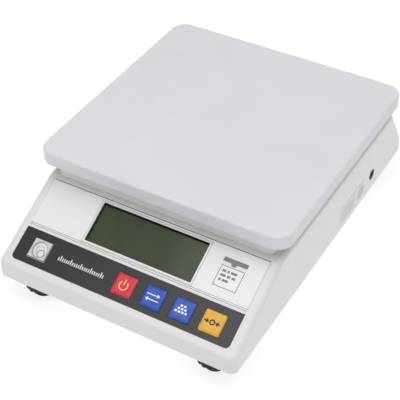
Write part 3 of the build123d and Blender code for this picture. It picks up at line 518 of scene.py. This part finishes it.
def board_look():
    """Circuit board: solder mask over traces, with rows of tinned pads."""
    color = tone(28, 96, 52)
    m = Build("solder_mask")
    across = m.stretched((1, 1, 0.05))
    traces = m.cells(size=0.0035, feature="DISTANCE_TO_EDGE", vector=across)
    pads = m.cells(size=0.0026, vector=across)
    mask = m.mixed(m.ranged(traces, *TRACE_EDGE, 1, 0), color, shade(color, 1.9))
    base = m.mixed(m.ranged(pads, *PAD_EDGE, 1, 0), mask, tone(206, 205, 196))
    gloss = m.ranged(pads, *PAD_EDGE, 0.3, 0.42)
    m.surface(base, gloss, m.bump(traces, depth=0.00003), coat=0.2)
    return m.material


def component_look():
    """Chips and connectors: dark plastic with a fine grain."""
    m = Build("components")
    grain = m.noise(size=0.0005, detail=3.0, rough=0.6)
    base = m.varied(grain, tone(30, 30, 32), tone(44, 44, 46))
    m.surface(base, roughness=0.5, normal=m.bump(grain, depth=0.00002))
    return m.material


CELL_BAND = (0.0120, 0.0124)  # metres from the front of the cells to where the band fades out
CELL_END = (0.0014, 0.0016)  # the same for the bright ends


def cell_look():
    """Battery cells: plain dark sleeve with a copper-toned band and bright ends."""
    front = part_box("battery_cells")[0].y
    m = Build("battery_sleeve")
    y = m.along("Y")
    scuffs = m.noise(size=0.003, detail=5.0, rough=0.7)
    base = m.mixed(m.ranged(scuffs, 0.45, 0.75, 0, 1), tone(44, 46, 52), tone(66, 68, 74))
    for (start, end), color in ((CELL_BAND, tone(196, 140, 84)), (CELL_END, tone(210, 210, 206))):
        base = m.mixed(m.ranged(y, front + start, front + end, 1, 0), base, color)
    gloss = m.spread(scuffs, 0.26, 0.4)
    m.surface(base, gloss, m.bump(scuffs, depth=0.00001), coat=0.3)
    return m.material


def label_look():
    """Foil rating label: pale brushed silver."""
    m = Build("silver_label")
    lines = m.noise(size=0.0005, detail=4.0, rough=0.7, vector=m.stretched((1, 0.1, 1)))
    base = m.varied(lines, tone(224, 225, 226), tone(230, 231, 232))
    m.surface(base, m.spread(lines, 0.38, 0.5), m.bump(lines, depth=0.000004))
    return m.material


display_cell = display_look()
clear_window = clear_look()
level_vial = vial_look()
solder_mask = board_look()
components = component_look()
sleeve = cell_look()
foil_label = label_look()

looks = {
    "upper_housing": white_abs,
    "base_plate": base_abs,
    "battery_door": base_abs,
    "base_screws": zinc_steel,
    "display_sheet": light_film,
    "key_sheet": dark_film,
    "display_gasket": black_foam,
    "display_window": clear_window,
    "lcd_glass": display_cell,
    "lcd_connectors": black_rubber,
    "display_board": solder_mask,
    "display_board_screws": zinc_steel,
    "key_switches": switch_plastic,
    "level_body": silver_plastic,
    "level_vial": level_vial,
    "level_clip": black_plastic,
    "load_cell": machined,
    "strain_gauges": silicone,
    "load_cell_block": machined,
    "load_cell_base_screws": black_steel,
    "support_frame": cast,
    "frame_screws": black_steel,
    "pan_bumpers": black_rubber,
    "overload_stops": zinc_steel,
    "weighing_pan": pan_abs,
    "main_board": solder_mask,
    "board_components": components,
    "board_screws": zinc_steel,
    "buzzer": black_plastic,
    "dc_jack": jack_plastic,
    "battery_cells": sleeve,
    "battery_contacts": nickel_steel,
    "load_cell_cable": cable_grey,
    "battery_leads": cable_black,
    "jack_leads": cable_black,
    "ribbon_cable": cable_grey,
    "rating_label": foil_label,
    "foot_inserts": brass,
}
for key in KEYS:
    looks[f"key_cap_{key}"] = key_looks[key]
    looks[f"switch_plunger_{key}"] = switch_plastic
for corner in CORNERS:
    looks[f"foot_stud_{corner}"] = zinc_steel
    looks[f"foot_wheel_{corner}"] = black_plastic
    looks[f"foot_pad_{corner}"] = black_rubber
for name, look in looks.items():
    nodes[name].data.materials.clear()
    nodes[name].data.materials.append(look)


# ---------------------------------------------------------------- key caps
# All lengths from here to the studio are in millimetres unless a comment says metres.
CAP_HALF = 7.05
CAP_TOP = 1.3
DISH = 0.3
DISH_RADIUS = 60.0
DISH_HALF = 5.6
DISH_CORNER = 0.75
DISH_CLEARANCE = 0.04  # kept below the top of the cap
DISH_SHARES = (1.0, 0.92, 0.8, 0.65, 0.5, 0.35, 0.2, 0.08)
PER_CORNER, PER_SIDE = 7, 9  # points around a key
CAP_RINGS = (  # half width, corner radius, height over the panel's face
    (8.6, 0.6, -3.6),
    (8.6, 0.6, -2.85),
    (8.5, 0.5, -2.8),
    (CAP_HALF, 1.1, -2.8),
    (CAP_HALF, 1.1, -0.4),
    (CAP_HALF, 1.1, 0.35),
    (CAP_HALF - 0.05, 1.08, 0.5),
    (CAP_HALF - 0.25, 1.05, 0.66),
    (CAP_HALF - 0.7, 0.95, 0.9),
    (CAP_HALF - 1.1, 0.85, 1.1),
    (CAP_HALF - 1.3, 0.8, 1.18),
)


def rounded_square(half, corner):
    """Points around a square with rounded corners, with more along its sides."""
    points = []
    reach = half - corner
    centres = ((reach, reach), (-reach, reach), (-reach, -reach), (reach, -reach))
    for quarter, (cx, cy) in enumerate(centres):
        for i in range(PER_CORNER):
            a = math.pi / 2 * (quarter + i / (PER_CORNER - 1))
            points.append((cx + corner * math.cos(a), cy + corner * math.sin(a)))
        last = points[-1]
        nx, ny = centres[(quarter + 1) % 4]
        a = math.pi / 2 * (quarter + 1)
        following = (nx + corner * math.cos(a), ny + corner * math.sin(a))
        for i in range(1, PER_SIDE):
            share = i / PER_SIDE
            u = last[0] + (following[0] - last[0]) * share
            v = last[1] + (following[1] - last[1]) * share
            points.append((u, v))
    return points


def dished(u, v):
    """Height of the dished key top over the panel's face."""
    height = CAP_TOP - DISH + DISH_RADIUS - math.sqrt(DISH_RADIUS**2 - u * u - v * v)
    return min(height, CAP_TOP - DISH_CLEARANCE)


def key_piece(key):
    """A key cap as one smooth moulding: flange, straight sides, soft bevel and dished top."""
    x, s = panel_coords(f"switch_plunger_{key}")
    bm = bmesh.new()
    loops = []
    for half, corner, level in CAP_RINGS:
        outline = rounded_square(half, corner)
        loops.append([bm.verts.new(on_panel(x + u, s + v, level)) for u, v in outline])
    for share in DISH_SHARES:
        loop = []
        for u, v in rounded_square(DISH_HALF, DISH_CORNER):
            u, v = u * share, v * share
            loop.append(bm.verts.new(on_panel(x + u, s + v, dished(u, v))))
        loops.append(loop)
    skin(bm, loops)
    piece = make_object(f"key_{key}_moulding", bm, key_looks[key], f"key_{key}")
    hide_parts(f"key_cap_{key}")


LEGEND_UNDER, LEGEND_OVER = -0.03, 0.03
LEGEND_RING_OVER = 0.035  # a little more, so that a ring and a bar don't share a face
LEGEND_RING_STEPS = 36


def legend(key, outlines, rings, material):
    """Printed symbol that follows the dished top of a key."""
    x, s = panel_coords(f"switch_plunger_{key}")

    def place(u, v, n):
        return on_panel(x + u, s + v, dished(u, v) + n)

    bm = bmesh.new()
    for outline in outlines:
        add_prism(bm, outline, place, LEGEND_UNDER, LEGEND_OVER)
    for centre, radii, start, sweep in rings:
        levels = (LEGEND_UNDER, LEGEND_RING_OVER)
        add_ring(bm, centre, radii, place, *levels, LEGEND_RING_STEPS, start, sweep)
    make_object(f"legend_{key}", bm, material, f"key_{key}", smooth=False)


for key in KEYS:
    key_piece(key)

# Power: an open ring with a bar through its gap.
HALF_GAP = 0.9 / 1.4  # radians
power_ring = ((0, 0.3), (3.3, 2.45), -math.pi / 2 + HALF_GAP, FULL_TURN - 2 * HALF_GAP)
legend("power", stroke([(0, -3.6), (0, -0.4)], width=0.85), [power_ring], ink_cream)

# Mode: two opposed arrows, each a shaft and a head.
SHAFT_WIDTH = 0.7
mode_marks = stroke([(-4.4, -1.5), (2.6, -1.5)], SHAFT_WIDTH)
mode_marks += [[(2.6, -2.8), (4.7, -1.5), (2.6, -0.2)]]
mode_marks += stroke([(4.4, 1.7), (-2.6, 1.7)], SHAFT_WIDTH)
mode_marks += [[(-2.6, 0.4), (-4.7, 1.7), (-2.6, 3.0)]]
legend("mode", mode_marks, [], ink_white)

# Pieces: a stack of blocks, four, three and two to a row.
BLOCK_PITCH = 2.3
BLOCK_HALF_WIDTH, BLOCK_HALF_HEIGHT = 0.8, 0.7
blocks = []
for row, count in ((1.7, 4), (-0.3, 3), (-2.3, 2)):
    for i in range(count):
        u = (i - (count - 1) / 2) * BLOCK_PITCH
        left, right = u - BLOCK_HALF_WIDTH, u + BLOCK_HALF_WIDTH
        blocks.append(bar(left, row - BLOCK_HALF_HEIGHT, right, row + BLOCK_HALF_HEIGHT))
legend("pieces", blocks, [], ink_white)

# Tare: a zero between two arrows that point at it.
zero = ((0, 0), (1.9, 1.0), 0.0, FULL_TURN)
tare_marks = [bar(-5.35, -0.45, -4.0, 0.45), [(-4.0, -1.7), (-2.15, 0), (-4.0, 1.7)]]
tare_marks += [bar(4.0, -0.45, 5.35, 0.45), [(4.0, 1.7), (2.15, 0), (4.0, -1.7)]]
legend("tare", tare_marks, [zero], ink_black)


# ---------------------------------------------------------------- print on the front panel
INK_UNDER, INK_OVER, RING_OVER = 0.02, 0.03, 0.035


def print_on_panel(name, outlines, material, level=SHEET_FACE, rings=()):
    """Thin ink on the flat films of the panel, as (across, down the slope)."""
    bm = bmesh.new()
    for outline in outlines:
        add_prism(bm, outline, on_panel, level - INK_UNDER, level + INK_OVER)
    for centre, radii in rings:
        add_ring(bm, centre, radii, on_panel, level - INK_UNDER, level + RING_OVER)
    make_object(name, bm, material, smooth=False)


EDGE = 79.7  # half width of the printed area
TOP_LINE = (0.15, 0.6)
LOWER_RULE = (32.9, 33.15)
LOWER_EDGE = (33.95, 34.2)
SIDE_WIDTH = 0.16
ink_pale = printed("ink_pale", tone(238, 239, 236))
ink_side = printed("ink_side", tone(196, 199, 200))
print_on_panel("print_top_line", [bar(-EDGE, TOP_LINE[0], EDGE, TOP_LINE[1])], ink_dark)
print_on_panel("print_lower_rule", [bar(-EDGE, LOWER_RULE[0], EDGE, LOWER_RULE[1])], ink_dark)
print_on_panel("print_lower_edge", [bar(-EDGE, LOWER_EDGE[0], EDGE, LOWER_EDGE[1])], ink_grey)
side_lines = [
    bar(-EDGE, TOP_LINE[1], -EDGE + SIDE_WIDTH, LOWER_RULE[0]),
    bar(EDGE - SIDE_WIDTH, TOP_LINE[1], EDGE, LOWER_RULE[0]),
]
print_on_panel("print_side_lines", side_lines, ink_side)
window_frame = frame_lines(-40.4, 2.0, 40.4, 32.2, width=0.9)
window_line = frame_lines(-40.65, 1.75, 40.65, 32.45, width=0.2)
print_on_panel("print_window_frame", window_frame, ink_pale)
print_on_panel("print_window_line", window_line, ink_grey)

# A pan on a box, with rows of bars for the box's print.
stem = [(57.6, 10.3), (61.6, 10.3), (61.0, 12.0), (58.2, 12.0)]
pan_and_stem = [bar(51.7, 7.4, 68.4, 10.3), stem]
box_frame = frame_lines(52.2, 12.7, 68.2, 26.6, width=0.34)
tabs = [bar(52.3, 10.9, 56.8, 12.3), bar(62.7, 10.9, 68.1, 12.3)]
print_on_panel("print_pan_symbol", pan_and_stem, ink_grey)
print_on_panel("print_pan_symbol_box", box_frame, ink_dark)
print_on_panel("print_pan_symbol_tabs", tabs, ink_white)

BOX_ROWS_LEFT = 54.2
BOX_ROW_HEIGHT = 1.5
BOX_ROWS = (  # top of the row, then the start and width of each bar
    (15.2, ((0, 2.6), (3.5, 1.4), (5.8, 4.2))),
    (18.2, ((0, 3.6), (4.6, 2.2), (7.8, 2.4))),
    (21.2, ((0, 1.6), (2.5, 4.0))),
)
box_marks = []
for row, pieces in BOX_ROWS:
    for start, width in pieces:
        left = BOX_ROWS_LEFT + start
        box_marks.append(bar(left, row, left + width, row + BOX_ROW_HEIGHT))
print_on_panel("print_box_marks", box_marks, ink_grey)

GRADUATIONS = 23
GRADUATIONS_START, GRADUATIONS_SPAN = -48.4, 33.4
GRADUATIONS_FOOT = 49.8
TICK_TALL, TICK_SHORT, TICK_HALF_WIDTH = 3.6, 2.3, 0.36
ticks = []
for i in range(GRADUATIONS):
    u = GRADUATIONS_START + GRADUATIONS_SPAN * i / (GRADUATIONS - 1)
    top = GRADUATIONS_FOOT - (TICK_TALL if i % 5 == 1 else TICK_SHORT)
    ticks.append(bar(u - TICK_HALF_WIDTH, top, u + TICK_HALF_WIDTH, GRADUATIONS_FOOT))
print_on_panel("print_graduations", ticks, ink_white)


# ---------------------------------------------------------------- spirit level
VIAL_FACE, CUP_FACE = 0.2, 0.5  # height of the prints over the panel's face
RING_RADII = (2.9, 2.65)
RIM_RADII = (5.15, 4.9)
BUBBLE_OFFSET = (1.5, 2.1)
BUBBLE_RADIUS, BUBBLE_FOOT, BUBBLE_HEIGHT = 2.25, 0.19, 0.35
BUBBLE_EDGE_RADII = (2.6, 2.1)
BUBBLE_STEPS, BUBBLE_ROWS = 32, 6


def level_marks():
    """Ring printed on the vial, shaded rims of its cup, and the bubble off to one side."""
    x, s = panel_coords("level_vial")
    ring_ink = printed("ink_ring", tone(150, 153, 153))
    print_on_panel("level_ring", [], ring_ink, VIAL_FACE, [((x, s), RING_RADII)])
    rim_ink = printed("ink_rim", tone(132, 135, 135))
    print_on_panel("level_rim", [], rim_ink, VIAL_FACE, [((x, s), RIM_RADII)])
    rims = [bar(x - 6.5, s + 5.95, x + 6.6, s + 6.6), bar(x + 6.0, s - 6.5, x + 6.6, s + 5.95)]
    print_on_panel("level_shaded_rims", rims, printed("rim_shade", tone(112, 114, 115)), CUP_FACE)
    x += BUBBLE_OFFSET[0]
    s += BUBBLE_OFFSET[1]
    bm = bmesh.new()
    loops = []
    for k in range(BUBBLE_ROWS + 1):
        a = math.pi / 2 * k / BUBBLE_ROWS
        radius = BUBBLE_RADIUS * math.cos(a) + 0.001
        level = BUBBLE_FOOT + BUBBLE_HEIGHT * math.sin(a)
        loop = []
        for i in range(BUBBLE_STEPS):
            turn = FULL_TURN * i / BUBBLE_STEPS
            u, v = x + radius * math.cos(turn), s + radius * math.sin(turn)
            loop.append(bm.verts.new(on_panel(u, v, level)))
        loops.append(loop)
    skin(bm, loops)
    make_object("level_bubble", bm, level_vial)
    edge_ink = printed("bubble_edge", tone(84, 87, 88))
    print_on_panel("level_bubble_edge", [], edge_ink, VIAL_FACE, [((x, s), BUBBLE_EDGE_RADII)])


level_marks()


# ---------------------------------------------------------------- rating label print
LABEL_LEAN = math.radians(1.4)  # of the housing's right wall
LABEL_OUT = 0.215  # out from the wall, just past the label's face
LABEL_ROWS, BARS_PER_ROW = 4, 4
LABEL_LEFT, LABEL_FOOT, ROW_PITCH = 2.0, 2.0, 2.4
ROW_TOP = 2.9
BAR_WIDTHS = (5.0, 3.2, 6.1, 2.4, 4.4, 3.6, 5.4, 2.8)
BAR_GAP = 1.1
STRIPES, STRIPES_LEFT, STRIPE_PITCH = 9, 27.5, 1.05
STRIPE_FOOT, STRIPE_TOP = 2.2, 9.8
STRIPE_WIDE, STRIPE_NARROW = 0.7, 0.35
LABEL_INK_UNDER, LABEL_INK_OVER = -0.01, 0.02


def label_print():
    """Generic rows of bars and a block of stripes on the rating label, with no wording."""
    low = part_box("rating_label")[0]
    housing_low, housing_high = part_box("upper_housing")

    def place(u, v, n):
        z = low.z + v * MM
        x = housing_high.x - (z - housing_low.z) * math.tan(LABEL_LEAN) + LABEL_OUT * MM
        return Vector((x + n * MM, low.y + u * MM, z))

    outlines = []
    for row in range(LABEL_ROWS):
        u = LABEL_LEFT
        for i in range(BARS_PER_ROW):
            width = BAR_WIDTHS[(row * 3 + i) % len(BAR_WIDTHS)]
            rise = ROW_PITCH * row
            outlines.append(bar(u, LABEL_FOOT + rise, u + width, ROW_TOP + rise))
            u += width + BAR_GAP
    for i in range(STRIPES):
        u = STRIPES_LEFT + i * STRIPE_PITCH
        width = STRIPE_WIDE if i % 3 else STRIPE_NARROW
        outlines.append(bar(u, STRIPE_FOOT, u + width, STRIPE_TOP))
    bm = bmesh.new()
    for outline in outlines:
        add_prism(bm, outline, place, LABEL_INK_UNDER, LABEL_INK_OVER)
    label_ink = printed("ink_label", tone(186, 189, 190))
    make_object("print_rating_label", bm, label_ink, smooth=False)


label_print()


# ---------------------------------------------------------------- threaded studs
CREST_RADIUS, ROOT_RADIUS, PITCH = 2.98 * MM, 2.6 * MM, 1.0 * MM  # metres
STUD_SIDES, ROWS_PER_TURN = 24, 4
TIP_CHAMFER = 0.6  # height and depth of the chamfer at the tip


def threaded_stud(corner):
    """Stud with a real thread between the thumbwheel and its tip."""
    low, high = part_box(f"foot_stud_{corner}")
    centre = (low + high) / 2
    height = high.z - low.z
    rows = round(height / PITCH * ROWS_PER_TURN)
    bm = bmesh.new()
    loops = []
    for k in range(rows + 1):
        z = low.z + height * k / rows
        tip = max(0.0, (z - (high.z - TIP_CHAMFER * MM)) / (TIP_CHAMFER * MM))
        loop = []
        for i in range(STUD_SIDES):
            a = FULL_TURN * i / STUD_SIDES
            phase = (z / PITCH - a / FULL_TURN) % 1.0
            depth = abs(phase * 2 - 1)
            radius = ROOT_RADIUS + (CREST_RADIUS - ROOT_RADIUS) * depth
            radius = min(radius, CREST_RADIUS - tip * TIP_CHAMFER * MM)
            x, y = centre.x + radius * math.cos(a), centre.y + radius * math.sin(a)
            loop.append(bm.verts.new((x, y, z)))
        loops.append(loop)
    skin(bm, loops)
    piece = make_object(f"thread_{corner}", bm, zinc_steel, f"wheel_{corner}")
    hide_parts(f"foot_stud_{corner}")


for corner in CORNERS:
    threaded_stud(corner)


# ---------------------------------------------------------------- studio
FLOOR_SIZE = 30.0
FLOOR_GLOW = 0.8
FLOOR_GREYS = ((0.25, 0.25, 0.25, 1), (0.27, 0.27, 0.27, 1))


def floor_look():
    """Matt floor with a glow of its own, so that it comes out white."""
    m = Build("studio_floor")
    slow = m.noise(size=0.4, detail=3.0, rough=0.5)
    shader = m.surface(m.varied(slow, *FLOOR_GREYS), roughness=0.9, specular=0.1)
    shader.inputs["Emission Color"].default_value = (1, 1, 1, 1)
    shader.inputs["Emission Strength"].default_value = FLOOR_GLOW
    return m.material


def add_floor():
    """One square face at the height of the table."""
    bm = bmesh.new()
    h = FLOOR_SIZE / 2
    bm.faces.new([bm.verts.new(p) for p in ((-h, -h, 0), (h, -h, 0), (h, h, 0), (-h, h, 0))])
    mesh = bpy.data.meshes.new("floor")
    bm.to_mesh(mesh)
    bm.free()
    mesh.materials.append(floor_look())
    made = bpy.data.objects.new("floor", mesh)
    bpy.context.scene.collection.objects.link(made)


add_floor()


def area_light(name, place, target, size, power):
    """A softbox at a place, turned to its target."""
    data = bpy.data.lights.new(name, "AREA")
    data.shape = "RECTANGLE"
    data.size, data.size_y = size
    data.energy = power
    lamp = bpy.data.objects.new(name, data)
    lamp.location = place
    aim = Vector(target) - Vector(place)
    lamp.rotation_euler = aim.to_track_quat("-Z", "Y").to_euler()
    bpy.context.scene.collection.objects.link(lamp)


area_light(
    "overhead_softbox", place=(0.15, -0.1, 1.25), target=(0.15, -0.1, 0), size=(1.3, 1.2), power=8.3
)
area_light(
    "front_softbox", place=(-0.42, -0.85, 0.95), target=(0, -0.05, 0.05), size=(0.9, 0.7), power=2.4
)

SURROUND = 0.28
SURROUND_TILT = (("Z", 0.2), ("X", 0.07), ("Y", 0.1))


def studio_world():
    """Soft surround, a little brighter overhead, at the back and on the right."""
    world = bpy.data.worlds.new("studio")
    world.use_nodes = True
    tree = world.node_tree
    split = tree.nodes.new("ShaderNodeSeparateXYZ")
    coords = tree.nodes.new("ShaderNodeTexCoord")
    tree.links.new(coords.outputs["Generated"], split.inputs["Vector"])
    total = SURROUND
    for axis, share in SURROUND_TILT:
        step = tree.nodes.new("ShaderNodeMath")
        step.operation = "MULTIPLY_ADD"
        tree.links.new(split.outputs[axis], step.inputs[0])
        step.inputs[1].default_value = share
        if isinstance(total, float):
            step.inputs[2].default_value = total
        else:
            tree.links.new(total, step.inputs[2])
        total = step.outputs["Value"]
    background = tree.nodes["Background"]
    background.inputs["Color"].default_value = (1, 1, 1, 1)
    tree.links.new(total, background.inputs["Strength"])
    return world


scene = bpy.context.scene
scene.world = studio_world()
scene.view_settings.view_transform = "Standard"
scene.view_settings.look = "None"

CAMERA_PLACE = (0.287894, -0.499338, 0.517018)
CAMERA_RIGHT = Vector((0.86337901, 0.50444723, -0.01047306))
CAMERA_FORWARD = Vector((-0.38898679, 0.65225753, -0.6505762))
SENSOR_WIDTH, FOCAL_LENGTH = 36.0, 98.99

camera_data = bpy.data.cameras.new("camera")
camera_data.sensor_width = SENSOR_WIDTH
camera_data.lens = FOCAL_LENGTH
camera_data.clip_start, camera_data.clip_end = 0.01, 20.0
camera = bpy.data.objects.new("camera", camera_data)
right = (CAMERA_RIGHT - CAMERA_FORWARD * CAMERA_RIGHT.dot(CAMERA_FORWARD)).normalized()
up = right.cross(CAMERA_FORWARD).normalized()
turn = Matrix((right, up, -CAMERA_FORWARD)).transposed()
camera.matrix_world = Matrix.Translation(CAMERA_PLACE) @ turn.to_4x4()
scene.collection.objects.link(camera)
scene.camera = camera
